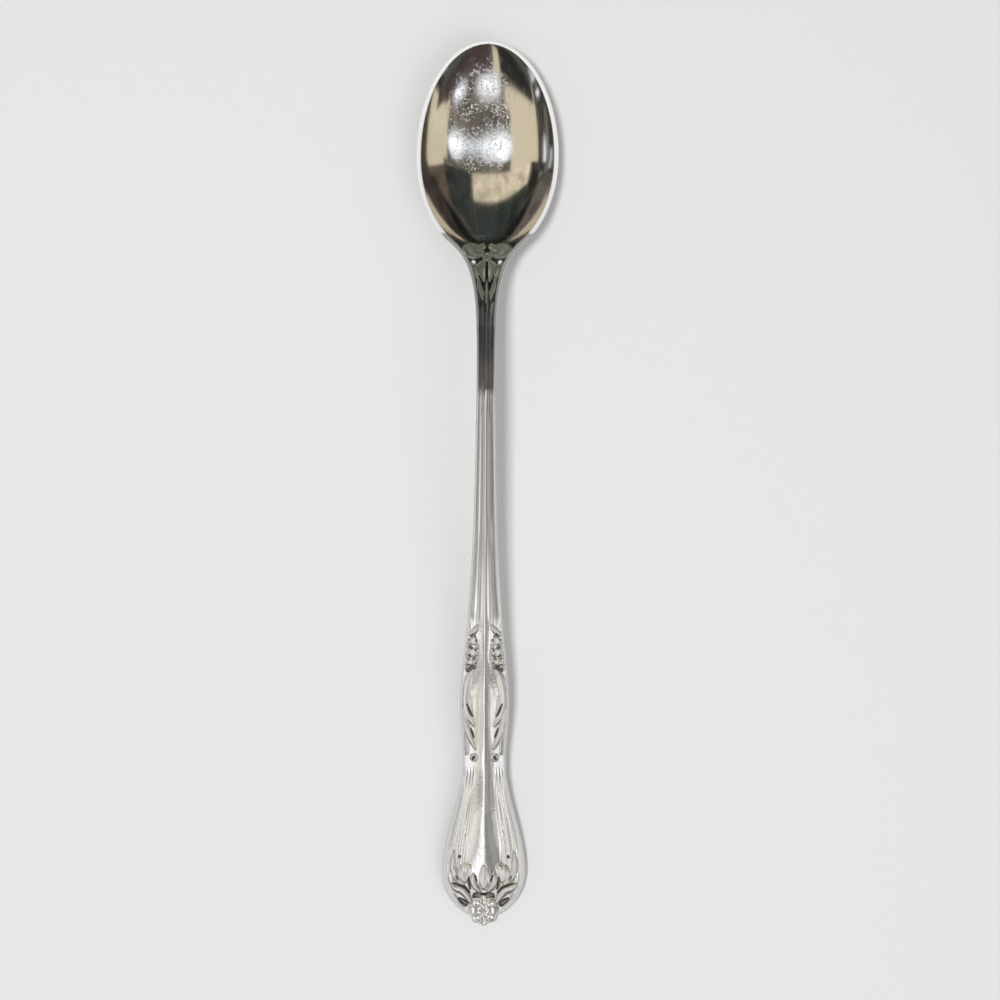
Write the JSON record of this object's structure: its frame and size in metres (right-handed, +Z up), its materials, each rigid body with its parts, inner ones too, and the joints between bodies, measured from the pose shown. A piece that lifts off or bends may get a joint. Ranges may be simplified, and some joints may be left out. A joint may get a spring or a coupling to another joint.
{
  "type": "iced tea spoon",
  "caption": "Long-handled spoon with an oval bowl, an arched reeded shank, a carved knop and a flared panel that ends in a rosette.",
  "frame": {"origin": "on the table under the middle of the spoon's length, halfway across it", "axes": "+X across the spoon, +Y from the handle's tip towards the bowl, +Z up out of the hollow of the bowl"},
  "size_m": [0.03, 0.188, 0.0171],
  "materials": {
    "steel": "polished"
  },
  "bodies": {
    "root": {"bowl": "steel", "neck": "steel", "shank": "steel", "knop": "steel", "panel": "steel", "tip": "steel"}
  },
  "joints": []
}
